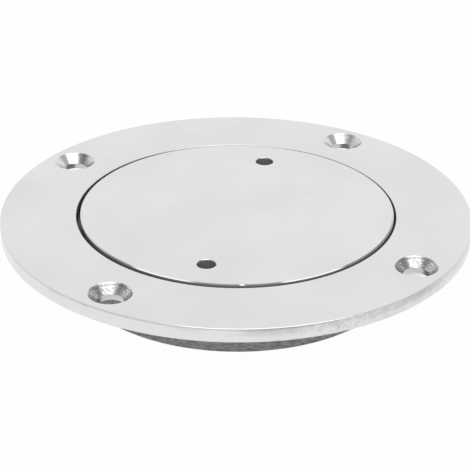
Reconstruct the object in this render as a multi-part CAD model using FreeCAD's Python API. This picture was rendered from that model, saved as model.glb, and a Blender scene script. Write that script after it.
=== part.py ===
# Deck inspection plate: a flanged stainless ring, its screw-in cover and the seal between them.
# Millimetres, +Z up. The origin is the centre of the screw circle on the flange's underside, which is
# the face that sits on the deck. The cover is shown screwed down on its seal.
import FreeCAD, Part

import math
import os

# Ring: the flange with its opening, and the neck that goes through the deck
opening_diameter = 102.0
flange_width = 24.0
flange_thickness = 4.5
flange_edge_break = 0.15
flange_foot_break = 0.15
opening_edge_break = 0.15
neck_length = 16.5
neck_wall = 6.2
neck_root_bevel = 1.5
neck_edge_break = 0.25

# Ring: the seat for the seal, and the bore that holds the thread, at the thread's root
seat_depth = 4.4
seat_width = 4.4
seat_edge_break = 0.5
bore_exit_break = 0.8

# Ring: countersunk holes for the deck screws
screw_count = 4
first_screw_angle = 45.0
screw_edge_distance = 9.2
screw_hole_diameter = 8.0
screw_head_diameter = 13.4
countersink_angle = 90.0

# Seal: a flat rubber ring, at the thickness it is pressed to between the seat and the rim
seal_width = 2.6
seal_thickness = 2.15
seal_gap = 0.3

# Cover: rim, spigot inside the seal, threaded skirt at the thread's root, and plate
rim_gap = 1.0
rim_thickness = 2.6
rim_edge_break = 0.15
rim_foot_break = 0.2
spigot_overhang = 0.3
spigot_clearance = 0.3
thread_depth = 1.5
thread_clearance = 0.5
thread_reach = 10.0
lead_in = 1.2
plate_thickness = 6.5
skirt_wall = 3.4
skirt_edge_break = 0.4
cup_root_bevel = 2.0
cover_shift = 0.3

# Cover: two blind holes for the pins of the key
key_hole_count = 2
key_hole_diameter = 5.8
key_hole_edge_break = 0.2
key_hole_inset = 12.0
key_hole_floor = 1.2
key_hole_angle = 65.0
drill_point_angle = 118.0

# Sizes that follow from the ones above
opening_radius = opening_diameter / 2
flange_radius = opening_radius + flange_width
bore_radius = opening_radius - seat_width
neck_radius = bore_radius + neck_wall
screw_circle_radius = flange_radius - screw_edge_distance
seat_z = flange_thickness - seat_depth

spigot_radius = bore_radius + spigot_overhang
seal_inner_radius = spigot_radius + seal_gap
seal_outer_radius = seal_inner_radius + seal_width

rim_radius = opening_radius - rim_gap
rim_underside_z = seat_z + seal_thickness
cover_top_z = rim_underside_z + rim_thickness
spigot_end_z = seat_z + spigot_clearance
skirt_radius = bore_radius - thread_clearance - thread_depth
skirt_end_z = seat_z - thread_reach
plate_underside_z = cover_top_z - plate_thickness
cup_radius = skirt_radius - skirt_wall
key_circle_radius = rim_radius - key_hole_inset

TOLERANCE = 1e-6


def disc(radius, low_z, high_z):
    """A solid cylinder about the Z axis between two heights."""
    return Part.makeCylinder(radius, high_z - low_z, FreeCAD.Vector(0, 0, low_z))


def circles(shape, radius, height):
    """The circular edges of a shape that lie about the Z axis with this radius at this height."""
    found = []
    for edge in shape.Edges:
        curve = edge.Curve
        if not isinstance(curve, Part.Circle):
            continue
        centre = curve.Center
        on_axis = math.hypot(centre.x, centre.y) < TOLERANCE
        if on_axis and abs(curve.Radius - radius) < TOLERANCE and abs(centre.z - height) < TOLERANCE:
            found.append(edge)
    return found


def on_circle(shape, circle_radius, count, first_angle):
    """Copies of a shape spaced evenly about the Z axis on a circle, as one compound."""
    copies = []
    for index in range(count):
        copy = shape.copy()
        copy.translate(FreeCAD.Vector(circle_radius, 0, 0))
        turn = first_angle + index * 360.0 / count
        copy.rotate(FreeCAD.Vector(0, 0, 0), FreeCAD.Vector(0, 0, 1), turn)
        copies.append(copy)
    return Part.makeCompound(copies)


def screw_hole():
    """The space of one countersunk screw: its shank's hole and the cone for its head."""
    shank_radius = screw_hole_diameter / 2
    head_radius = screw_head_diameter / 2
    cone_depth = (head_radius - shank_radius) / math.tan(math.radians(countersink_angle / 2))
    shank = disc(shank_radius, -flange_thickness, flange_thickness)
    cone_base = FreeCAD.Vector(0, 0, flange_thickness - cone_depth)
    cone = Part.makeCone(shank_radius, head_radius, cone_depth, cone_base)
    return shank.fuse(cone)


def key_hole():
    """The space of one drilled blind hole, from the cone of the drill's point to the broken mouth."""
    radius = key_hole_diameter / 2
    point_depth = radius / math.tan(math.radians(drill_point_angle / 2))
    tip_z = plate_underside_z + key_hole_floor
    point = Part.makeCone(0, radius, point_depth, FreeCAD.Vector(0, 0, tip_z))
    shank = disc(radius, tip_z + point_depth, cover_top_z)
    mouth_base = FreeCAD.Vector(0, 0, cover_top_z - key_hole_edge_break)
    mouth = Part.makeCone(radius, radius + key_hole_edge_break, key_hole_edge_break, mouth_base)
    return point.fuse([shank, mouth])


def deck_ring():
    """The casting: flange, neck, seat ledge, bore and countersunk holes, with its edges broken."""
    flange = disc(flange_radius, 0, flange_thickness)
    neck = disc(neck_radius, -neck_length, 0)
    body = flange.fuse(neck).removeSplitter()
    body = body.makeChamfer(neck_root_bevel, circles(body, neck_radius, 0))
    body = body.makeChamfer(flange_edge_break, circles(body, flange_radius, flange_thickness))
    body = body.makeChamfer(flange_foot_break, circles(body, flange_radius, 0))
    body = body.makeChamfer(neck_edge_break, circles(body, neck_radius, -neck_length))

    body = body.cut(disc(opening_radius, seat_z, flange_thickness))
    body = body.cut(disc(bore_radius, -neck_length, seat_z))
    body = body.makeChamfer(opening_edge_break, circles(body, opening_radius, flange_thickness))
    body = body.makeChamfer(seat_edge_break, circles(body, bore_radius, seat_z))
    body = body.makeChamfer(bore_exit_break, circles(body, bore_radius, -neck_length))
    return body.cut(on_circle(screw_hole(), screw_circle_radius, screw_count, first_screw_angle))


def cover():
    """The turned cover: rim, spigot and skirt round a shallow cup, with two blind holes in its top."""
    rim = disc(rim_radius, rim_underside_z, cover_top_z)
    spigot = disc(spigot_radius, spigot_end_z, rim_underside_z)
    skirt = disc(skirt_radius, skirt_end_z, spigot_end_z)
    body = rim.fuse([spigot, skirt]).removeSplitter()
    body = body.makeChamfer(rim_edge_break, circles(body, rim_radius, cover_top_z))
    body = body.makeChamfer(rim_foot_break, circles(body, rim_radius, rim_underside_z))
    body = body.makeChamfer(lead_in, circles(body, skirt_radius, skirt_end_z))

    cup = disc(cup_radius, skirt_end_z, plate_underside_z)
    cup = cup.makeChamfer(cup_root_bevel, circles(cup, cup_radius, plate_underside_z))
    body = body.cut(cup)
    body = body.makeChamfer(skirt_edge_break, circles(body, cup_radius, skirt_end_z))
    return body.cut(on_circle(key_hole(), key_circle_radius, key_hole_count, key_hole_angle))


def seal_ring():
    """The seal: a flat ring round the spigot, with the seat under it and the rim on top of it."""
    outer = disc(seal_outer_radius, seat_z, rim_underside_z)
    return outer.cut(disc(seal_inner_radius, seat_z, rim_underside_z))


def beside_axis(shape):
    """A piece moved to where the play of the thread lets the cover settle."""
    moved = shape.copy()
    moved.translate(FreeCAD.Vector(cover_shift, 0, 0))
    return moved


def main():
    """Writes one file for each piece and prints its volume."""
    pieces = {
        "deck_ring": deck_ring(),
        "cover": beside_axis(cover()),
        "seal_ring": beside_axis(seal_ring()),
    }
    os.makedirs("parts", exist_ok=True)
    for name, shape in pieces.items():
        solid = shape.Solids[0]
        solid.exportStep(os.path.join("parts", name + ".step"))
        print(f"{name}: {len(shape.Solids)} solid, {solid.Volume / 1000:.2f} cm3, valid {solid.isValid()}")


main()
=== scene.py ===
"""Dresses the deck inspection plate: turned, polished and cast steel, both threads, seal and studio."""

from __future__ import annotations

import logging
import math
from dataclasses import dataclass, field
from enum import Enum
from typing import Any, Callable, Sequence

import bmesh
import bpy
from mathutils import Matrix, Vector

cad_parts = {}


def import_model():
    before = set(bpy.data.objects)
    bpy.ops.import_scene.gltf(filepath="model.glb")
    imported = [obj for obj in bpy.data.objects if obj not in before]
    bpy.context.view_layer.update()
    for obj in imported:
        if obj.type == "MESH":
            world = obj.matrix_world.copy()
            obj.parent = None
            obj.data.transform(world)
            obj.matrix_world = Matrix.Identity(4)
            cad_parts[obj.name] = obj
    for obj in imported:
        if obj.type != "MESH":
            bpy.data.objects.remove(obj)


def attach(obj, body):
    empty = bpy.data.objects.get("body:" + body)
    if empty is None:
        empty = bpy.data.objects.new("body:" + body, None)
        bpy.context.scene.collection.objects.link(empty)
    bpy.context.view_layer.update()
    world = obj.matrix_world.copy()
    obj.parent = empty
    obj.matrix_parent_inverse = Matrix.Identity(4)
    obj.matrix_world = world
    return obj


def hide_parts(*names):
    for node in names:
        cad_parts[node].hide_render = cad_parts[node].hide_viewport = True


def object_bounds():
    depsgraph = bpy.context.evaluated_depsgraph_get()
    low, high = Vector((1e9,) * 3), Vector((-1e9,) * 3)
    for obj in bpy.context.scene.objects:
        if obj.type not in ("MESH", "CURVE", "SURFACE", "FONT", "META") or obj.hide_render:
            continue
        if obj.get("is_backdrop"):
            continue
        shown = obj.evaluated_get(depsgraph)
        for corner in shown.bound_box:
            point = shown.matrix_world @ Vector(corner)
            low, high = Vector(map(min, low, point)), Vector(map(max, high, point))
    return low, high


logging.basicConfig(level=logging.INFO, format="%(message)s")
log = logging.getLogger("deck_plate")

MM = 0.001
TURN = 2 * math.pi

# Faces of each rounded corner, and faces round each small hole
ROUNDING_STEPS = 4
HOLE_SEGMENTS = 96

# A bend in radians, a radius and a step in height in metres that are too small to count
NO_BEND = 1e-6
NO_RADIUS = 1e-9
NO_STEP = 1e-7


class Finish(Enum):
    """The finishes of the object's surfaces, each made once as a material."""

    POLISHED_FLANGE = "polished_flange"
    POLISHED_COVER = "polished_cover"
    FLANGE_EDGE = "flange_edge"
    BROKEN_EDGE = "broken_edge"
    RIM_EDGE = "rim_edge"
    RIM_SIDE = "rim_side"
    CAST = "cast_neck"
    MACHINED = "machined_bore"
    SEAT = "seat_painted_shade"
    COUNTERSUNK = "countersunk_hole"
    DRILLED = "drilled_hole"
    RUBBER = "seal_rubber"


class Signal:
    """A shader socket that takes part in Python expressions and adds the nodes that work them out."""

    def __init__(self, graph: "Graph", socket: bpy.types.NodeSocket) -> None:
        """Wraps an output socket of a graph."""
        self.graph = graph
        self.socket = socket

    def _math(self, operation: str, *values: Any) -> "Signal":
        """Adds a Math node on these values and returns its result."""
        node = self.graph.node("ShaderNodeMath", {"operation": operation}, dict(enumerate(values)))
        return Signal(self.graph, node.outputs[0])

    def __add__(self, other: Any) -> "Signal":
        """Sum of two signals."""
        return self._math("ADD", self, other)

    def __radd__(self, other: Any) -> "Signal":
        """Sum with a number on the left."""
        return self._math("ADD", other, self)

    def __sub__(self, other: Any) -> "Signal":
        """Difference of two signals."""
        return self._math("SUBTRACT", self, other)

    def __rsub__(self, other: Any) -> "Signal":
        """A number less this signal."""
        return self._math("SUBTRACT", other, self)

    def __mul__(self, other: Any) -> "Signal":
        """Product of two signals."""
        return self._math("MULTIPLY", self, other)

    def __rmul__(self, other: Any) -> "Signal":
        """Product with a number on the left."""
        return self._math("MULTIPLY", other, self)

    def __pow__(self, other: Any) -> "Signal":
        """This signal raised to a power."""
        return self._math("POWER", self, other)

    def __abs__(self) -> "Signal":
        """This signal without its sign."""
        return self._math("ABSOLUTE", self)

    def ramp(self, low: float, high: float, at_low: float = 0.0, at_high: float = 1.0) -> "Signal":
        """Maps a stretch of the signal smoothly onto another.

        Args:
            low: Where the stretch begins.
            high: Where it ends.
            at_low: The result at and before low.
            at_high: The result at and after high.

        Returns:
            The mapped signal.
        """
        node = self.graph.node(
            "ShaderNodeMapRange",
            {"interpolation_type": "SMOOTHSTEP"},
            {"Value": self, "From Min": low, "From Max": high, "To Min": at_low, "To Max": at_high},
        )
        return Signal(self.graph, node.outputs["Result"])


class Graph:
    """A shader tree that nodes are added to."""

    def __init__(self, tree: bpy.types.NodeTree) -> None:
        """Empties the tree and takes it over."""
        self.tree = tree
        tree.nodes.clear()

    def node(self, kind: str, settings: dict[str, Any] | None = None,
             inputs: dict[Any, Any] | None = None) -> bpy.types.Node:
        """Adds one node.

        Args:
            kind: The node's type.
            settings: Its properties, which are set before its sockets.
            inputs: Values, signals or sockets for its inputs, by name or number.

        Returns:
            The new node.
        """
        made = self.tree.nodes.new(kind)
        for name, value in (settings or {}).items():
            setattr(made, name, value)
        for key, value in (inputs or {}).items():
            if isinstance(value, Signal):
                value = value.socket
            if isinstance(value, bpy.types.NodeSocket):
                self.tree.links.new(value, made.inputs[key])
            else:
                made.inputs[key].default_value = value
        return made

    def signal(self, kind: str, output: str, settings: dict[str, Any] | None = None,
               inputs: dict[Any, Any] | None = None) -> Signal:
        """Adds one node and wraps one of its outputs."""
        return Signal(self, self.node(kind, settings, inputs).outputs[output])

    def parts(self, vector: bpy.types.NodeSocket) -> tuple[Signal, ...]:
        """The three parts of a vector."""
        split = self.node("ShaderNodeSeparateXYZ", inputs={"Vector": vector})
        return tuple(Signal(self, split.outputs[axis]) for axis in "XYZ")

    def place(self) -> tuple[bpy.types.NodeSocket, Signal, Signal, Signal]:
        """The surface point in the object's frame, as a vector and as its three parts in metres."""
        vector = self.node("ShaderNodeTexCoord").outputs["Object"]
        return vector, *self.parts(vector)

    def noise(self, vector: Any, scale: float, detail: float = 2.0, rough: float = 0.5) -> Signal:
        """A cloudy pattern in space, from 0 to 1.

        Args:
            vector: The place it is read at.
            scale: How many features there are in a metre.
            detail: How many finer layers it has.
            rough: How strong each finer layer is.

        Returns:
            The pattern's value.
        """
        return self.signal(
            "ShaderNodeTexNoise", "Fac", {"noise_dimensions": "3D"},
            {"Vector": vector, "Scale": scale, "Detail": detail, "Roughness": rough},
        )

    def stretched(self, vector: Any, scale: tuple[float, float, float],
                  turn: float = 0.0) -> bpy.types.NodeSocket:
        """A place that is scaled and turned about Z, so that a pattern read there is drawn out.

        Args:
            vector: The place.
            scale: What its three parts are multiplied by.
            turn: The angle that it is turned by afterwards.

        Returns:
            The new place's socket.
        """
        return self.node("ShaderNodeMapping", inputs={
            "Vector": vector, "Rotation": (0.0, 0.0, turn), "Scale": scale,
        }).outputs["Vector"]

    def rings(self, radius: Signal, per_metre: float, detail: float = 3.0) -> Signal:
        """Uneven rings round an axis, as a turning tool or a buff leaves them.

        Args:
            radius: Distance from the axis in metres.
            per_metre: How many rings there are in a metre.
            detail: How many finer layers they have.

        Returns:
            The rings' height, from 0 to 1.
        """
        return self.signal(
            "ShaderNodeTexNoise", "Fac", {"noise_dimensions": "1D"},
            {"W": radius, "Scale": per_metre, "Detail": detail, "Roughness": 0.6},
        )

    def grey(self, dark: float, light: float, share: Signal) -> bpy.types.NodeSocket:
        """A grey between two tones.

        Args:
            dark: The tone where share is 0.
            light: The tone where share is 1.
            share: The signal that mixes them.

        Returns:
            The colour's socket.
        """
        mix = self.node(
            "ShaderNodeMix", {"data_type": "RGBA"},
            {0: share, 6: (dark, dark, dark, 1.0), 7: (light, light, light, 1.0)},
        )
        return mix.outputs[2]

    def bump(self, height: Signal, depth: float) -> bpy.types.NodeSocket:
        """A normal bent by a height pattern of a given depth in metres."""
        made = self.node("ShaderNodeBump", inputs={"Strength": 1.0, "Distance": depth, "Height": height})
        return made.outputs["Normal"]


def new_material(name: str) -> tuple[bpy.types.Material, Graph]:
    """Makes a material and gives its emptied tree to fill."""
    material = bpy.data.materials.new(name)
    material.use_nodes = True
    return material, Graph(material.node_tree)


def new_object(name: str, data: bpy.types.ID) -> bpy.types.Object:
    """Makes an object from its data and links it to the scene."""
    made = bpy.data.objects.new(name, data)
    bpy.context.scene.collection.objects.link(made)
    return made


@dataclass(frozen=True)
class MetalFinish:
    """A steel surface: its tones, its gloss and the marks that its making left on it, some with painted
    light and shade.
    """

    finish: Finish
    dark: float
    light: float
    roughness: float
    roughness_spread: float
    mark_depth: float
    marks: Callable[[Graph], tuple[Signal, Signal]]

    def build(self) -> bpy.types.Material:
        """Makes the material.

        Returns:
            The material, whose marks give its tone, its roughness and its bump.
        """
        material, graph = new_material(self.finish.value)
        tone, height = self.marks(graph)
        rough = tone * -self.roughness_spread + (self.roughness + self.roughness_spread)
        shader = graph.node("ShaderNodeBsdfPrincipled", inputs={
            "Base Color": graph.grey(self.dark, self.light, tone),
            "Metallic": 1.0,
            "Roughness": rough,
            "Normal": graph.bump(height, self.mark_depth),
        })
        graph.node("ShaderNodeOutputMaterial", inputs={"Surface": shader.outputs[0]})
        return material


@dataclass(frozen=True)
class RubberFinish:
    """Matt black rubber with the bloom and fine grain of a moulded seal."""

    tone: float = 0.018
    bloom: float = 0.035
    roughness: float = 0.56
    roughness_spread: float = 0.12
    grain_depth: float = 0.02 * MM

    def build(self) -> bpy.types.Material:
        """Makes the material and returns it."""
        material, graph = new_material(Finish.RUBBER.value)
        vector, *_ = graph.place()
        cloud = graph.noise(vector, 120.0)
        grain = graph.noise(vector, 2600.0)
        shader = graph.node("ShaderNodeBsdfPrincipled", inputs={
            "Base Color": graph.grey(self.tone, self.bloom, cloud),
            "Roughness": cloud * self.roughness_spread + self.roughness,
            "Normal": graph.bump(grain, self.grain_depth),
        })
        graph.node("ShaderNodeOutputMaterial", inputs={"Surface": shader.outputs[0]})
        return material


def radius_about(x: Signal, y: Signal) -> Signal:
    """The distance from an axis that two signals are measured from."""
    return (x * x + y * y) ** 0.5


def buffed(axis_x: float) -> Callable[[Graph], tuple[Signal, Signal]]:
    """The marks of a turned face that was buffed: soft clouds, faint rings and hair scratches.

    Args:
        axis_x: Where the face's turning axis stands along X.

    Returns:
        A function that adds the marks to a graph.
    """
    def marks(graph: Graph) -> tuple[Signal, Signal]:
        """Adds the marks and returns their tone and height."""
        vector, x, y, _ = graph.place()
        cloud = graph.noise(vector, 38.0, 3.0)
        rings = graph.rings(radius_about(x - axis_x, y), 2200.0)
        along_hairs = graph.stretched(vector, (60.0, 4200.0, 60.0), turn=0.6)
        hairs = graph.noise(along_hairs, 1.0, 1.0).ramp(0.66, 0.8)
        tone = cloud.ramp(0.25, 0.75)
        return tone, rings * 0.5 + hairs * 0.8
    return marks


def turned_edge(graph: Graph) -> tuple[Signal, Signal]:
    """The marks of the flange's side: turning lines and patches of pits, with painted shade that makes it
    darker towards its top.
    """
    vector, x, _, z = graph.place()
    lines = graph.rings(z, 1700.0)
    streaks = graph.noise(graph.stretched(vector, (1.0, 1.0, 7.0)), 110.0, 3.0).ramp(0.45, 0.7)
    patch = graph.noise(vector, 42.0, 2.0).ramp(0.45, 0.62)
    pitted = x.ramp(7 * MM, 12 * MM) * x.ramp(27 * MM, 20 * MM)
    spread = patch * x.ramp(30 * MM, 20 * MM, 0.05, 0.4) + pitted * 0.75
    pits = graph.noise(vector, 1300.0, 3.0, 0.65).ramp(0.53, 0.68) * spread
    blotch = graph.noise(vector, 420.0, 4.0, 0.65).ramp(0.35, 0.75)
    # Darker in the middle of the front, more towards the top.
    front_middle_darkening = x.ramp(-18 * MM, -8 * MM) * x.ramp(10 * MM, 0.0) * z.ramp(0.4 * MM, 4.0 * MM) * 0.3
    # Painted shade: a darker patch low on the right of the side.
    shade = x.ramp(32 * MM, 42 * MM) * x.ramp(56 * MM, 46 * MM) * z.ramp(1.0 * MM, 3.0 * MM) * 0.25
    # Painted light: less of the painted shade under the arris from here to the right.
    painted_lightening = x.ramp(10 * MM, 20 * MM) * 0.35
    # Painted shade: a dark band just under the arris and a faint one at the foot.
    painted_edge_shade = z.ramp(3.6 * MM, 4.25 * MM) * (0.5 - painted_lightening) + z.ramp(0.5 * MM, 0.1 * MM) * 0.15
    # Painted shade: darker towards the top, more on the right.
    painted_shade = z.ramp(0.6 * MM, 3.9 * MM) * x.ramp(-20 * MM, 10 * MM, 0.06, 0.22)
    drawn = streaks * z.ramp(1.0 * MM, 3.8 * MM) * 0.22
    marred = (pits * 0.8 + blotch * 0.25 + patch * 0.1) * x.ramp(-20 * MM, 20 * MM, 0.4, 1.0)
    tone = 1.2 - painted_edge_shade - painted_shade - front_middle_darkening - shade - drawn - marred - lines * 0.2
    return tone, lines * 0.35 - pits


def cast_skin(graph: Graph) -> tuple[Signal, Signal]:
    """The skin of a sand casting: coarse lumps, fine grit and darker hollows."""
    vector, *_ = graph.place()
    drawn = graph.stretched(vector, (1.0, 1.0, 2.8))
    lumps = graph.noise(drawn, 520.0, 4.0, 0.65)
    grit = graph.noise(drawn, 1900.0, 2.0, 0.6)
    height = lumps * 0.6 + grit * 0.4
    return height.ramp(0.3, 0.72), height


def tooled(graph: Graph) -> tuple[Signal, Signal]:
    """The marks of a single-point tool on a face or bore turned about the ring's axis."""
    vector, x, y, z = graph.place()
    lines = graph.rings(radius_about(x, y) + z, 3000.0)
    cloud = graph.noise(vector, 90.0)
    return cloud.ramp(0.3, 0.7) * 0.6 + lines * 0.4, lines


def rim_lines_and_painted_highlights(graph: Graph) -> tuple[Signal, Signal]:
    """The marks of the cover's broken edge: fine lines, with painted shade at the front but for three
    stretches of painted highlight.
    """
    _, x, y, z = graph.place()
    lines = graph.rings(radius_about(x, y) + z, 3000.0)
    # Painted highlights: the three stretches that the painted shade at the front leaves out.
    left = x.ramp(-39 * MM, -36 * MM) * x.ramp(-20 * MM, -24 * MM)
    spot = x.ramp(-8.6 * MM, -8.2 * MM) * x.ramp(-6.8 * MM, -7.2 * MM)
    right = x.ramp(3 * MM, 6 * MM) * x.ramp(26 * MM, 22 * MM)
    front = y.ramp(-8 * MM, -30 * MM)
    # Painted shade over the front but for the three stretches.
    painted_shade = (1.0 - left - spot - right) * front
    return 0.7 + front * 0.3 - painted_shade * 0.87 - lines * 0.05, lines


def countersunk(offset: float) -> Callable[[Graph], tuple[Signal, Signal]]:
    """The rings that a countersink leaves in holes which stand at equal offsets along X and Y.

    Args:
        offset: How far each hole's axis stands from the ring's axis along X and along Y.

    Returns:
        A function that adds the marks to a graph.
    """
    def marks(graph: Graph) -> tuple[Signal, Signal]:
        """Adds the marks and returns their tone and height.

        The near holes are darker and more strongly marked than the far ones, a painted shade; the far holes
        have painted shade in a band on the right flank and painted light on the left one, and the near
        holes' far walls carry painted shade.
        """
        vector, x, y, _ = graph.place()
        waver = graph.noise(vector, 350.0, 2.0) * (0.9 * MM)
        rings = graph.rings(radius_about(abs(x) - offset, abs(y) - offset) + waver, 1900.0, 2.0)
        chatter = graph.noise(vector, 1500.0, 2.0, 0.5)
        mixed = rings * 0.55 + chatter * 0.45
        far = y.ramp(-30.0 * MM, 30.0 * MM)
        # Painted shade on the near holes, which are darker than the far ones, with stronger and deeper
        # rings.
        near_holes_shade_and_marks = 1.0 - far * 0.5
        # Painted shade on the far walls of the near holes.
        painted_far_wall_shade = (y + offset).ramp(1.5 * MM, 4.0 * MM) * (1.0 - far) * 0.32
        across = (abs(x) - offset) * x.ramp(-1.0 * MM, 1.0 * MM, -1.0, 1.0)
        strength = x.ramp(-30.0 * MM, 30.0 * MM, 0.75, 0.35)
        # Painted shade in a band on the right flank of each far hole, stronger on the left holes.
        painted_flank_shade = across.ramp(1.0 * MM, 2.4 * MM) * across.ramp(6.0 * MM, 3.6 * MM) * strength
        # Painted light on the left flank of each far hole.
        painted_lightening = across.ramp(-0.5 * MM, -2.5 * MM) * 0.3
        tone = (mixed - 0.5) * near_holes_shade_and_marks * 4.5 - near_holes_shade_and_marks * 0.65 - painted_far_wall_shade - (painted_flank_shade - painted_lightening) * far + 1.17
        return tone, mixed * near_holes_shade_and_marks
    return marks


def drilled(graph: Graph) -> tuple[Signal, Signal]:
    """The dull wall of a drilled hole, with lines where the drill's edge went round."""
    vector, _, _, z = graph.place()
    lines = graph.rings(z, 2600.0)
    cloud = graph.noise(vector, 400.0)
    return cloud, lines


@dataclass(frozen=True)
class Corner:
    """A corner of a turned outline, in metres, with the radius it is broken to.

    The surface runs on from here to the next corner in this finish.
    """

    across: float
    up: float
    rounding: float = 0.0
    finish: Finish = Finish.MACHINED


@dataclass(frozen=True)
class Station:
    """One ring of a turned surface: its place, its exact normal and the finish that follows it."""

    across: float
    up: float
    normal_across: float
    normal_up: float
    finish: Finish


def stations(corners: Sequence[Corner], closed: bool = False) -> list[Station]:
    """Works out the rings of an outline whose corners are rounded.

    The outline runs clockwise as seen with the axis on the left, so that its left side is outside.

    Args:
        corners: The outline's corners in order.
        closed: Whether the last corner joins the first.

    Returns:
        The rings in order.
    """
    found: list[Station] = []
    count = len(corners)
    for index, corner in enumerate(corners):
        here = Vector((corner.across, corner.up))
        before = corners[index - 1] if closed or index > 0 else None
        after = corners[(index + 1) % count] if closed or index < count - 1 else None
        arriving = (here - Vector((before.across, before.up))).normalized() if before else None
        leaving = (Vector((after.across, after.up)) - here).normalized() if after else None
        arriving = arriving or leaving
        leaving = leaving or arriving
        turn = math.atan2(arriving.x * leaving.y - arriving.y * leaving.x, arriving.dot(leaving))
        if abs(turn) < NO_BEND:
            found.append(Station(here.x, here.y, -leaving.y, leaving.x, corner.finish))
            continue
        side = 1.0 if turn > 0 else -1.0
        start = here - arriving * (corner.rounding * math.tan(abs(turn) / 2))
        first_normal = Vector((-arriving.y, arriving.x))
        centre = start + first_normal * corner.rounding * side
        incoming = before.finish if before else corner.finish
        for step in range(ROUNDING_STEPS + 1):
            angle = turn * step / ROUNDING_STEPS
            normal = Matrix.Rotation(angle, 2) @ first_normal
            point = centre - normal * corner.rounding * side
            finish = corner.finish if step == ROUNDING_STEPS else incoming
            found.append(Station(point.x, point.y, normal.x, normal.y, finish))
    return found


@dataclass
class TurnedMesh:
    """Grows one closed mesh out of turned surfaces and flat faces, and keeps its exact normals."""

    segments: int = 384
    points: list[Vector] = field(default_factory=list)
    normals: list[Vector] = field(default_factory=list)
    faces: list[tuple[tuple[int, ...], Finish]] = field(default_factory=list)

    def sweep(self, rings: Sequence[Station], centre: tuple[float, float] = (0.0, 0.0),
              closed: bool = False, segments: int | None = None) -> None:
        """Turns an outline about an upright axis.

        Args:
            rings: The outline's rings.
            centre: Where the axis stands.
            closed: Whether the last ring joins the first.
            segments: How many faces go round, when not the mesh's own number.
        """
        count = segments or self.segments
        rows: list[list[int]] = []
        for ring in rings:
            row = []
            at_pole = ring.across < NO_RADIUS
            for step in range(1 if at_pole else count):
                angle = TURN * step / count
                cos, sin = math.cos(angle), math.sin(angle)
                row.append(len(self.points))
                self.points.append(Vector((
                    centre[0] + ring.across * cos, centre[1] + ring.across * sin, ring.up)))
                out = 0.0 if at_pole else ring.normal_across
                self.normals.append(Vector((out * cos, out * sin, ring.normal_up)).normalized())
            rows.append(row)
        pairs = list(zip(rows, rows[1:], rings))
        if closed:
            pairs.append((rows[-1], rows[0], rings[-1]))
        for inner, outer, ring in pairs:
            for step in range(count):
                following = (step + 1) % count
                loop = [inner[step % len(inner)], outer[step % len(outer)],
                        outer[following % len(outer)], inner[following % len(inner)]]
                self.faces.append((tuple(dict.fromkeys(loop)), ring.finish))

    def build(self, name: str, slots: Sequence[Finish], flats: dict[float, tuple[float, Finish]],
              materials: dict[Finish, bpy.types.Material]) -> bpy.types.Object:
        """Closes the flat faces and makes the object.

        Args:
            name: The piece's name.
            slots: The finishes it uses.
            flats: For each height of an open flat face, the way it looks up or down and its finish.
            materials: The made materials.

        Returns:
            The object, linked to the scene.
        """
        form = bmesh.new()
        corners = [form.verts.new(point) for point in self.points]
        for loop, finish in self.faces:
            face = form.faces.new([corners[index] for index in loop])
            face.material_index = slots.index(finish)
        for height, (way, finish) in flats.items():
            rim = [edge for edge in form.edges if edge.is_boundary
                   and all(abs(vertex.co.z - height) < NO_STEP for vertex in edge.verts)]
            made = bmesh.ops.triangle_fill(form, use_beauty=True, edges=rim, normal=(0.0, 0.0, way))
            for item in made["geom"]:
                if isinstance(item, bmesh.types.BMFace):
                    item.material_index = slots.index(finish)
                    item.normal_update()
                    if item.normal.z * way < 0:
                        item.normal_flip()
        mesh = bpy.data.meshes.new(name)
        form.to_mesh(mesh)
        form.free()
        mesh.polygons.foreach_set("use_smooth", [True] * len(mesh.polygons))
        mesh.normals_split_custom_set_from_vertices(self.normals)
        for finish in slots:
            mesh.materials.append(materials[finish])
        return new_object(name, mesh)


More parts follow.
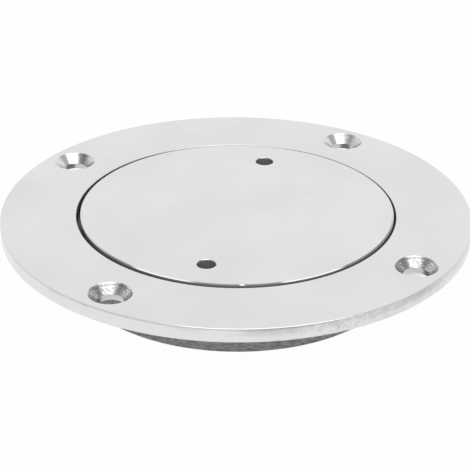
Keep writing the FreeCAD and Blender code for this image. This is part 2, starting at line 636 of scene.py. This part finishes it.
@dataclass
class ScrewThread:
    """A helical ridge on a round wall, made by Geometry Nodes along a spiral.

    A positive height stands outwards from the wall, and a negative one inwards.
    """

    name: str
    wall_radius: float
    height: float
    start_z: float
    end_z: float
    phase_turns: float
    centre_x: float = 0.0
    pitch: float = 3.0 * MM
    root_width: float = 1.9 * MM
    crest_width: float = 0.7 * MM
    sunk: float = 0.12 * MM
    run_out_turns: float = 0.3
    run_out_scale: float = 0.03
    segments_per_turn: int = 96
    crease_angle: float = math.radians(30)

    def sizes(self) -> dict[str, float]:
        """The values of the node tree's named inputs."""
        outwards = math.copysign(1.0, self.height)
        full_height = abs(self.height) + self.sunk
        return {
            "Radius": self.wall_radius,
            "Height": full_height,
            "Stand Off": outwards * (full_height / 2 - self.sunk),
            "Lean": -outwards * math.pi / 2,
            "Pitch": self.pitch,
            "Turns": (self.end_z - self.start_z) / self.pitch,
            "Root Width": self.root_width,
            "Crest Width": self.crest_width,
            "Run Out": self.run_out_turns,
            "Start Z": self.start_z,
            "Centre X": self.centre_x,
            "Phase": TURN * self.phase_turns,
            "Segments": float(self.segments_per_turn),
        }

    def tree(self, material: bpy.types.Material) -> bpy.types.NodeTree:
        """Builds the node tree that sweeps the ridge's section along a spiral.

        Args:
            material: The ridge's material.

        Returns:
            The tree, with the ridge's sizes as its named inputs.
        """
        tree = bpy.data.node_groups.new(self.name + "_tree", "GeometryNodeTree")
        sockets = tree.interface
        sockets.new_socket("Geometry", in_out="OUTPUT", socket_type="NodeSocketGeometry")
        sockets.new_socket("Geometry", in_out="INPUT", socket_type="NodeSocketGeometry")
        for label in self.sizes():
            sockets.new_socket(label, in_out="INPUT", socket_type="NodeSocketFloat")
        graph = Graph(tree)
        given = graph.node("NodeGroupInput").outputs

        def value(label: str) -> Signal:
            """One of the tree's inputs as a signal."""
            return Signal(graph, given[label])

        spiral = graph.node("GeometryNodeCurveSpiral", inputs={
            "Resolution": value("Segments"), "Rotations": value("Turns"),
            "Start Radius": value("Radius"), "End Radius": value("Radius"),
            "Height": value("Turns") * value("Pitch"), "Reverse": True,
        })
        place = graph.node("ShaderNodeCombineXYZ", inputs={"X": value("Centre X"), "Z": value("Start Z")})
        spin = graph.node("ShaderNodeCombineXYZ", inputs={"Z": value("Phase")})
        seated = graph.node("GeometryNodeTransform", inputs={
            "Geometry": spiral.outputs["Curve"], "Translation": place.outputs[0],
            "Rotation": spin.outputs[0],
        })
        upright = graph.node("GeometryNodeSetCurveNormal", {"mode": "Z_UP"},
                             {"Curve": seated.outputs["Geometry"]})
        along = Signal(graph, graph.node("GeometryNodeSplineParameter").outputs["Factor"])
        turns_done = along * value("Turns")
        turns_left = value("Turns") - turns_done
        nearest = graph.signal("ShaderNodeMath", "Value", {"operation": "MINIMUM"},
                               {0: turns_done, 1: turns_left})
        share = graph.signal("ShaderNodeMath", "Value", {"operation": "DIVIDE", "use_clamp": True},
                             {0: nearest, 1: value("Run Out")})
        section = graph.node("GeometryNodeCurvePrimitiveQuadrilateral", {"mode": "TRAPEZOID"}, {
            "Bottom Width": value("Root Width"), "Top Width": value("Crest Width"),
            "Height": value("Height"), "Offset": 0.0,
        })
        lean = graph.node("ShaderNodeCombineXYZ", inputs={"Z": value("Lean")})
        stand = graph.node("ShaderNodeCombineXYZ", inputs={"X": value("Stand Off")})
        turned = graph.node("GeometryNodeTransform", inputs={
            "Geometry": section.outputs["Curve"], "Rotation": lean.outputs[0],
            "Translation": stand.outputs[0],
        })
        ridge = graph.node("GeometryNodeCurveToMesh", inputs={
            "Curve": upright.outputs["Curve"], "Profile Curve": turned.outputs["Geometry"],
            "Scale": share * (1.0 - self.run_out_scale) + self.run_out_scale, "Fill Caps": True,
        })
        real = graph.node("GeometryNodeRealizeInstances", inputs={"Geometry": ridge.outputs["Mesh"]})
        dressed = graph.node("GeometryNodeSetMaterial", inputs={
            "Geometry": real.outputs["Geometry"], "Material": material,
        })
        graph.node("NodeGroupOutput", inputs={"Geometry": dressed.outputs["Geometry"]})
        return tree

    def build(self, material: bpy.types.Material) -> bpy.types.Object:
        """Runs the tree and turns its result into a plain mesh object."""
        sizes = self.sizes()
        tree = self.tree(material)
        carrier = new_object(self.name + "_carrier", bpy.data.meshes.new(self.name + "_seed"))
        modifier = carrier.modifiers.new("thread", "NODES")
        modifier.node_group = tree
        for item in tree.interface.items_tree:
            if item.in_out == "INPUT" and item.name in sizes:
                modifier[item.identifier] = sizes[item.name]
        graph = bpy.context.evaluated_depsgraph_get()
        mesh = bpy.data.meshes.new_from_object(carrier.evaluated_get(graph))
        bpy.data.objects.remove(carrier)
        mesh.name = self.name
        mesh.polygons.foreach_set("use_smooth", [True] * len(mesh.polygons))
        mesh.set_sharp_from_angle(angle=self.crease_angle)
        return new_object(self.name, mesh)


def fit(piece: bpy.types.Object, body: str, slot: str, *nodes: str) -> None:
    """Puts a piece on its body and hides the nodes that it stands for.

    Args:
        piece: The finished piece.
        body: The body that it rides on.
        slot: The record's material slot; not used.
        nodes: The nodes that it replaces, if any.
    """
    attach(piece, body)
    if nodes:
        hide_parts(*nodes)
    log.info("%s: %d faces, rides on %s", piece.name, len(piece.data.polygons), body)


@dataclass(frozen=True)
class DeckRing:
    """The ring: flange, neck, seat ledge and threaded bore, with four countersunk screw holes."""

    opening_radius: float = 51.0 * MM
    flange_width: float = 24.0 * MM
    flange_thickness: float = 4.5 * MM
    flange_edge_break: float = 0.15 * MM
    flange_foot_break: float = 0.15 * MM
    opening_edge_break: float = 0.15 * MM
    neck_length: float = 16.5 * MM
    neck_radius: float = 52.8 * MM
    neck_root_bevel: float = 1.5 * MM
    root_upper_rounding: float = 0.3 * MM
    root_lower_rounding: float = 0.5 * MM
    neck_edge_break: float = 0.25 * MM
    bore_radius: float = 46.6 * MM
    bore_exit_break: float = 0.8 * MM
    seat_z: float = 0.1 * MM
    seat_edge_break: float = 0.5 * MM
    screw_count: int = 4
    first_screw_angle: float = math.radians(45)
    screw_circle_radius: float = 65.8 * MM
    screw_hole_radius: float = 4.0 * MM
    screw_head_radius: float = 6.7 * MM
    screw_lip: float = 0.3 * MM
    crisp: float = 0.05 * MM
    soft: float = 0.25 * MM
    margin: float = 1.0 * MM
    thread_height: float = 1.5 * MM
    thread_top_z: float = -1.5 * MM
    thread_foot_z: float = -15.0 * MM

    def outside(self) -> list[Corner]:
        """The flange's edge, from the flat top to the flat underside."""
        top = self.flange_thickness
        edge = self.opening_radius + self.flange_width
        return [
            Corner(edge - self.margin, top, finish=Finish.POLISHED_FLANGE),
            Corner(edge - self.flange_edge_break, top, self.soft, Finish.BROKEN_EDGE),
            Corner(edge, top - self.flange_edge_break, self.soft, Finish.FLANGE_EDGE),
            Corner(edge, self.flange_foot_break, self.crisp, Finish.FLANGE_EDGE),
            Corner(edge - self.flange_foot_break, 0.0, self.crisp, Finish.MACHINED),
            Corner(edge - self.margin, 0.0),
        ]

    def inside(self) -> list[Corner]:
        """The neck, bore, seat and opening, from the flat underside round to the flat top."""
        root = self.neck_radius + self.neck_root_bevel
        foot = -self.neck_length
        top = self.flange_thickness
        mouth = self.opening_radius
        return [
            Corner(root + self.margin / 2, 0.0, finish=Finish.MACHINED),
            Corner(root, 0.0, self.root_upper_rounding, Finish.CAST),
            Corner(self.neck_radius, -self.neck_root_bevel, self.root_lower_rounding, Finish.CAST),
            Corner(self.neck_radius, foot + self.neck_edge_break, self.soft, Finish.CAST),
            Corner(self.neck_radius - self.neck_edge_break, foot, self.soft, Finish.MACHINED),
            Corner(self.bore_radius + self.bore_exit_break, foot, self.crisp, Finish.MACHINED),
            Corner(self.bore_radius, foot + self.bore_exit_break, self.crisp, Finish.MACHINED),
            Corner(self.bore_radius, self.seat_z - self.seat_edge_break, self.crisp, Finish.MACHINED),
            Corner(self.bore_radius + self.seat_edge_break, self.seat_z, self.crisp, Finish.SEAT),
            Corner(mouth, self.seat_z, self.crisp, Finish.SEAT),
            Corner(mouth, top - self.opening_edge_break, self.crisp, Finish.MACHINED),
            Corner(mouth + self.opening_edge_break, top, self.crisp, Finish.POLISHED_FLANGE),
            Corner(mouth + self.opening_edge_break + self.margin / 3, top),
        ]

    def screw_hole(self) -> list[Corner]:
        """One countersunk hole about its own axis, from the underside up through the cone."""
        cone_z = self.flange_thickness - (self.screw_head_radius - self.screw_hole_radius)
        return [
            Corner(self.screw_hole_radius + self.screw_lip, 0.0, finish=Finish.MACHINED),
            Corner(self.screw_hole_radius, 0.0, self.crisp, Finish.MACHINED),
            Corner(self.screw_hole_radius, cone_z, self.crisp, Finish.COUNTERSUNK),
            Corner(self.screw_head_radius, self.flange_thickness, self.crisp, Finish.POLISHED_FLANGE),
            Corner(self.screw_head_radius + self.screw_lip, self.flange_thickness),
        ]

    def screw_centres(self) -> list[tuple[float, float]]:
        """Where the screw holes' axes stand."""
        angles = [self.first_screw_angle + TURN * index / self.screw_count
                  for index in range(self.screw_count)]
        return [(self.screw_circle_radius * math.cos(angle), self.screw_circle_radius * math.sin(angle))
                for angle in angles]

    def casting(self, materials: dict[Finish, bpy.types.Material]) -> bpy.types.Object:
        """The whole ring but its thread, as one closed mesh."""
        form = TurnedMesh()
        form.sweep(stations(self.outside()))
        form.sweep(stations(self.inside()))
        for centre in self.screw_centres():
            form.sweep(stations(self.screw_hole()), centre, segments=HOLE_SEGMENTS)
        slots = (Finish.POLISHED_FLANGE, Finish.BROKEN_EDGE, Finish.FLANGE_EDGE, Finish.CAST,
                 Finish.MACHINED, Finish.SEAT, Finish.COUNTERSUNK)
        flats = {self.flange_thickness: (1.0, Finish.POLISHED_FLANGE), 0.0: (-1.0, Finish.MACHINED)}
        return form.build("ring_casting", slots, flats, materials)

    def thread(self) -> ScrewThread:
        """The thread in the bore, whose ridge stands inwards."""
        return ScrewThread("ring_thread", self.bore_radius, -self.thread_height,
                           self.thread_foot_z, self.thread_top_z, phase_turns=0.0)

    def build(self, materials: dict[Finish, bpy.types.Material]) -> None:
        """Makes the ring's pieces and fits them to its body."""
        fit(self.casting(materials), "ring", "ring_steel", "deck_ring")
        fit(self.thread().build(materials[Finish.MACHINED]), "ring", "ring_steel")


@dataclass(frozen=True)
class ScrewInCover:
    """The cover: rim, spigot, threaded skirt and shallow cup, with two blind holes for a key."""

    centre_x: float = 0.3 * MM
    top_z: float = 4.85 * MM
    rim_radius: float = 50.0 * MM
    rim_foot_z: float = 2.25 * MM
    rim_edge_break: float = 0.15 * MM
    rim_edge_width: float = 0.5 * MM
    rim_foot_break: float = 0.2 * MM
    spigot_radius: float = 46.9 * MM
    spigot_end_z: float = 0.4 * MM
    skirt_radius: float = 44.6 * MM
    skirt_end_z: float = -9.9 * MM
    lead_in: float = 1.2 * MM
    skirt_edge_break: float = 0.4 * MM
    cup_radius: float = 41.2 * MM
    cup_ceiling_z: float = -1.65 * MM
    cup_root_bevel: float = 2.0 * MM
    cup_rounding: float = 0.4 * MM
    key_hole_count: int = 2
    key_circle_radius: float = 38.0 * MM
    key_hole_angle: float = math.radians(65)
    key_hole_radius: float = 2.9 * MM
    key_hole_edge_break: float = 0.2 * MM
    key_hole_tip_z: float = -0.45 * MM
    drill_point_angle: float = math.radians(118)
    crisp: float = 0.05 * MM
    soft: float = 0.25 * MM
    margin: float = 0.5 * MM
    thread_height: float = 1.5 * MM
    thread_top_z: float = -1.2 * MM
    thread_foot_z: float = -8.7 * MM

    def outline(self) -> list[Corner]:
        """The turned outline, from the flat top round the skirt to the cup's flat ceiling."""
        edge = self.rim_radius - self.rim_edge_width
        return [
            Corner(edge - self.margin, self.top_z, finish=Finish.POLISHED_COVER),
            Corner(edge, self.top_z, self.crisp, Finish.RIM_EDGE),
            Corner(self.rim_radius, self.top_z - self.rim_edge_break, self.crisp, Finish.RIM_SIDE),
            Corner(self.rim_radius, self.rim_foot_z + self.rim_foot_break, self.crisp,
                   Finish.RIM_SIDE),
            Corner(self.rim_radius - self.rim_foot_break, self.rim_foot_z, self.crisp,
                   Finish.RIM_SIDE),
            Corner(self.spigot_radius, self.rim_foot_z, self.crisp, Finish.MACHINED),
            Corner(self.spigot_radius, self.spigot_end_z, self.crisp, Finish.MACHINED),
            Corner(self.skirt_radius, self.spigot_end_z, self.crisp, Finish.MACHINED),
            Corner(self.skirt_radius, self.skirt_end_z + self.lead_in, self.crisp, Finish.MACHINED),
            Corner(self.skirt_radius - self.lead_in, self.skirt_end_z, self.crisp, Finish.MACHINED),
            Corner(self.cup_radius + self.skirt_edge_break, self.skirt_end_z, self.crisp,
                   Finish.MACHINED),
            Corner(self.cup_radius, self.skirt_end_z + self.skirt_edge_break, self.crisp,
                   Finish.MACHINED),
            Corner(self.cup_radius, self.cup_ceiling_z - self.cup_root_bevel, self.cup_rounding,
                   Finish.MACHINED),
            Corner(self.cup_radius - self.cup_root_bevel, self.cup_ceiling_z, self.cup_rounding,
                   Finish.MACHINED),
            Corner(self.cup_radius - self.cup_root_bevel - self.margin, self.cup_ceiling_z),
        ]

    def key_hole(self) -> list[Corner]:
        """One drilled hole about its own axis, from the tip of the drill's cone to the flat top."""
        shoulder = self.key_hole_tip_z + self.key_hole_radius / math.tan(self.drill_point_angle / 2)
        mouth = self.key_hole_radius + self.key_hole_edge_break
        return [
            Corner(0.0, self.key_hole_tip_z, finish=Finish.DRILLED),
            Corner(self.key_hole_radius, shoulder, self.crisp, Finish.DRILLED),
            Corner(self.key_hole_radius, self.top_z - self.key_hole_edge_break, self.soft,
                   Finish.BROKEN_EDGE),
            Corner(mouth, self.top_z, self.soft, Finish.POLISHED_COVER),
            Corner(mouth + self.margin / 2, self.top_z),
        ]

    def turning(self, materials: dict[Finish, bpy.types.Material]) -> bpy.types.Object:
        """The whole cover but its thread, as one closed mesh."""
        form = TurnedMesh()
        form.sweep(stations(self.outline()), (self.centre_x, 0.0))
        for index in range(self.key_hole_count):
            angle = self.key_hole_angle + TURN * index / self.key_hole_count
            centre = (self.centre_x + self.key_circle_radius * math.cos(angle),
                      self.key_circle_radius * math.sin(angle))
            form.sweep(stations(self.key_hole()), centre, segments=HOLE_SEGMENTS)
        slots = (Finish.POLISHED_COVER, Finish.RIM_EDGE, Finish.RIM_SIDE, Finish.BROKEN_EDGE,
                 Finish.MACHINED, Finish.DRILLED)
        flats = {self.top_z: (1.0, Finish.POLISHED_COVER),
                 self.cup_ceiling_z: (-1.0, Finish.MACHINED)}
        return form.build("cover_turning", slots, flats, materials)

    def thread(self, mate: ScrewThread) -> ScrewThread:
        """The thread round the skirt, half a pitch from the one in the bore.

        Args:
            mate: The thread in the bore.

        Returns:
            The cover's thread.
        """
        phase = (self.thread_foot_z - mate.start_z) / mate.pitch - 0.5
        return ScrewThread("cover_thread", self.skirt_radius, self.thread_height,
                           self.thread_foot_z, self.thread_top_z, phase, self.centre_x)

    def build(self, mate: ScrewThread, materials: dict[Finish, bpy.types.Material]) -> None:
        """Makes the cover's pieces and fits them to its body, with a thread that runs in its mate."""
        fit(self.turning(materials), "cover", "cover_steel", "cover")
        fit(self.thread(mate).build(materials[Finish.MACHINED]), "cover", "cover_steel")


@dataclass(frozen=True)
class SealRing:
    """The flat rubber ring between the cover's rim and the seat, with its moulded edges rounded."""

    centre_x: float = 0.3 * MM
    inner_radius: float = 47.2 * MM
    outer_radius: float = 49.8 * MM
    foot_z: float = 0.1 * MM
    top_z: float = 2.25 * MM
    edge_rounding: float = 0.3 * MM

    def build(self, materials: dict[Finish, bpy.types.Material]) -> None:
        """Makes the seal and fits it to its body."""
        outline = [
            Corner(self.inner_radius, self.foot_z, self.edge_rounding, Finish.RUBBER),
            Corner(self.inner_radius, self.top_z, self.edge_rounding, Finish.RUBBER),
            Corner(self.outer_radius, self.top_z, self.edge_rounding, Finish.RUBBER),
            Corner(self.outer_radius, self.foot_z, self.edge_rounding, Finish.RUBBER),
        ]
        form = TurnedMesh()
        form.sweep(stations(outline, closed=True), (self.centre_x, 0.0), closed=True)
        fit(form.build("seal", (Finish.RUBBER,), {}, materials), "seal", "seal_rubber", "seal_ring")


@dataclass(frozen=True)
class Studio:
    """A pale floor, white surroundings with two grey screens, and one soft lamp over the front."""

    floor_z: float
    floor_half_width: float = 0.8
    floor_tone: float = 0.9
    floor_glow: float = 0.98
    shade_depth: float = 0.45
    shade_reach: tuple[float, float] = (75.0 * MM, 57.0 * MM)
    shade_back_centre: tuple[float, float] = (6.0 * MM, 31.0 * MM)
    shade_back_reach: tuple[float, float] = (74.0 * MM, 66.0 * MM)
    room_light: float = 0.55
    screen_tone: float = 0.45
    screen_across: tuple[float, float] = (0.42, 0.58)
    screen_along: tuple[float, float] = (0.34, 0.06)
    screen_up: tuple[float, float] = (0.40, 0.56)
    lamp_watts: float = 1.7
    lamp_width: float = 0.8
    lamp_depth: float = 0.28
    lamp_distance: float = 0.7
    lamp_elevation: float = math.radians(60)
    lamp_azimuth: float = math.radians(5)

    @staticmethod
    def rays(graph: Graph) -> tuple[Signal, Signal]:
        """1 for what the eye sees, straight or through a clear body, and 1 for what a mirror sees."""
        path = graph.node("ShaderNodeLightPath").outputs
        eye = Signal(graph, path["Is Camera Ray"]) + Signal(graph, path["Is Transmission Ray"])
        eye = eye.ramp(0.0, 1.0)
        return eye, Signal(graph, path["Is Glossy Ray"]) * (1.0 - eye)

    def shade(self, graph: Graph) -> Signal:
        """1 on the floor under the back of the flange, where the object's shadow shows."""
        _, x, y, _ = graph.place()
        across, along = self.shade_back_centre
        under = radius_about(x, y).ramp(*self.shade_reach)
        return under * radius_about(x - across, y - along).ramp(*self.shade_back_reach)

    def floor(self) -> bpy.types.Object:
        """The floor, which shows white, keeps the object's shadow and is clear from below."""
        half = self.floor_half_width
        mesh = bpy.data.meshes.new("floor")
        corners = [(-half, -half), (half, -half), (half, half), (-half, half)]
        mesh.from_pydata([(x, y, self.floor_z) for x, y in corners], [], [(0, 1, 2, 3)])
        material, graph = new_material("pale_floor")
        matt = graph.node("ShaderNodeBsdfDiffuse", inputs={"Color": (self.floor_tone,) * 3 + (1.0,)})
        glow = graph.node("ShaderNodeEmission", inputs={"Strength": 1.0})
        eye, mirror = self.rays(graph)
        seen = eye * (1.0 - self.shade(graph) * self.shade_depth)
        mix = graph.node("ShaderNodeMixShader", inputs={
            0: (seen + mirror) * self.floor_glow, 1: matt.outputs[0], 2: glow.outputs[0],
        })
        below = graph.signal("ShaderNodeNewGeometry", "Backfacing")
        clear = graph.node("ShaderNodeBsdfTransparent")
        shown = graph.node("ShaderNodeMixShader", inputs={
            0: below, 1: mix.outputs[0], 2: clear.outputs[0],
        })
        graph.node("ShaderNodeOutputMaterial", inputs={"Surface": shown.outputs[0]})
        material.cycles.emission_sampling = "NONE"
        mesh.materials.append(material)
        return new_object("floor", mesh)

    def screens(self, graph: Graph) -> Signal:
        """1 in the directions of the two screens, high up on the left and on the right."""
        x, y, z = graph.parts(graph.node("ShaderNodeTexCoord").outputs["Generated"])
        return abs(x).ramp(*self.screen_across) * y.ramp(*self.screen_along) * z.ramp(*self.screen_up)

    def room(self) -> None:
        """The surroundings: white to the eye and in a mirror but for the screens, and softer as a light."""
        world = bpy.data.worlds.new("room")
        world.use_nodes = True
        world.cycles.sampling_method = "NONE"
        bpy.context.scene.world = world
        graph = Graph(world.node_tree)
        eye, mirror = self.rays(graph)
        mirrored = mirror * (1.0 - self.screens(graph) * (1.0 - self.screen_tone))
        strength = eye + mirrored + (1.0 - eye - mirror) * self.room_light
        glow = graph.node("ShaderNodeBackground", inputs={
            "Color": (1.0, 1.0, 1.0, 1.0), "Strength": strength,
        })
        graph.node("ShaderNodeOutputWorld", inputs={"Surface": glow.outputs[0]})

    def lamp(self) -> None:
        """One wide soft lamp that faces the object."""
        data = bpy.data.lights.new("soft_lamp", "AREA")
        data.shape = "RECTANGLE"
        data.size = self.lamp_width
        data.size_y = self.lamp_depth
        data.energy = self.lamp_watts
        made = new_object("soft_lamp", data)
        away = Vector((math.sin(self.lamp_azimuth) * math.cos(self.lamp_elevation),
                       -math.cos(self.lamp_azimuth) * math.cos(self.lamp_elevation),
                       math.sin(self.lamp_elevation)))
        made.location = away * self.lamp_distance
        made.rotation_euler = away.to_track_quat("Z", "Y").to_euler()

    def build(self) -> None:
        """Sets the whole studio up."""
        self.room()
        self.floor()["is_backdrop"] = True
        self.lamp()
        bpy.context.scene.view_settings.view_transform = "Standard"


@dataclass(frozen=True)
class Viewpoint:
    """The photograph's viewing angle: where the camera stands and what it looks at."""

    azimuth: float = math.radians(-11.03)
    elevation: float = math.radians(27.25)
    roll: float = math.radians(0.365)
    distance: float = 575.6 * MM
    target_z: float = 4.5 * MM
    target_right: float = 0.37 * MM
    target_up: float = 7.76 * MM
    lens_mm: float = 137.85
    sensor_mm: float = 36.0
    nearest: float = 10.0 * MM

    def build(self) -> None:
        """Makes the camera and gives it to the scene."""
        flat = math.cos(self.elevation)
        back = Vector((math.sin(self.azimuth) * flat, -math.cos(self.azimuth) * flat,
                       math.sin(self.elevation)))
        level = Vector((math.cos(self.azimuth), math.sin(self.azimuth), 0.0))
        right = Matrix.Rotation(self.roll, 3, back) @ level
        up = back.cross(right)
        data = bpy.data.cameras.new("viewpoint")
        data.lens = self.lens_mm
        data.sensor_width = self.sensor_mm
        data.clip_start = self.nearest
        made = new_object("viewpoint", data)
        place = (Vector((0.0, 0.0, self.target_z)) - right * self.target_right - up * self.target_up
                 + back * self.distance)
        made.matrix_world = Matrix.Translation(place) @ Matrix((right, up, back)).transposed().to_4x4()
        bpy.context.scene.camera = made


def finishes() -> dict[Finish, bpy.types.Material]:
    """Makes every material once."""
    ring = DeckRing()
    screw_offset = ring.screw_circle_radius * math.cos(ring.first_screw_angle)
    metals = (
        MetalFinish(Finish.POLISHED_FLANGE, 0.715, 0.760, 0.15, 0.04, 0.001 * MM, buffed(0.0)),
        MetalFinish(Finish.POLISHED_COVER, 0.720, 0.765, 0.15, 0.04, 0.001 * MM,
                    buffed(ScrewInCover().centre_x)),
        # The flange's side carries painted shade.
        MetalFinish(Finish.FLANGE_EDGE, 0.36, 0.76, 0.24, 0.10, 0.02 * MM, turned_edge),
        MetalFinish(Finish.BROKEN_EDGE, 0.63, 0.71, 0.14, 0.04, 0.002 * MM, tooled),
        # The cast neck's dark tones are partly the casting's own skin and partly painted shade under the
        # flange.
        MetalFinish(Finish.CAST, 0.12, 0.32, 0.55, 0.10, 0.10 * MM, cast_skin),
        MetalFinish(Finish.MACHINED, 0.55, 0.66, 0.28, 0.08, 0.004 * MM, tooled),
        # The cover's broken edge carries painted highlights and painted shade.
        MetalFinish(Finish.RIM_EDGE, 0.20, 0.98, 0.40, 0.06, 0.002 * MM, rim_lines_and_painted_highlights),
        MetalFinish(Finish.RIM_SIDE, 0.50, 0.62, 0.52, 0.08, 0.004 * MM, tooled),
        # The seat at the bottom of the gap round the cover is dark, a painted shade.
        MetalFinish(Finish.SEAT, 0.22, 0.30, 0.52, 0.08, 0.004 * MM, tooled),
        # The countersinks carry painted light and painted shade.
        MetalFinish(Finish.COUNTERSUNK, 0.26, 0.74, 0.24, 0.06, 0.05 * MM,
                    countersunk(screw_offset)),
        # The drilled walls' darker tones are partly their own dull finish and partly painted shade inside
        # the blind key holes.
        MetalFinish(Finish.DRILLED, 0.32, 0.44, 0.50, 0.10, 0.01 * MM, drilled),
    )
    made = {metal.finish: metal.build() for metal in metals}
    made[Finish.RUBBER] = RubberFinish().build()
    return made


def main() -> None:
    """Loads the frame, dresses every node and sets up the studio and the camera."""
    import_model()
    cad_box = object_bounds()
    Viewpoint().build()
    materials = finishes()
    ring = DeckRing()
    ring.build(materials)
    ScrewInCover().build(ring.thread(), materials)
    SealRing().build(materials)
    Studio(floor_z=cad_box[0].z).build()


if __name__ == "__main__":
    main()
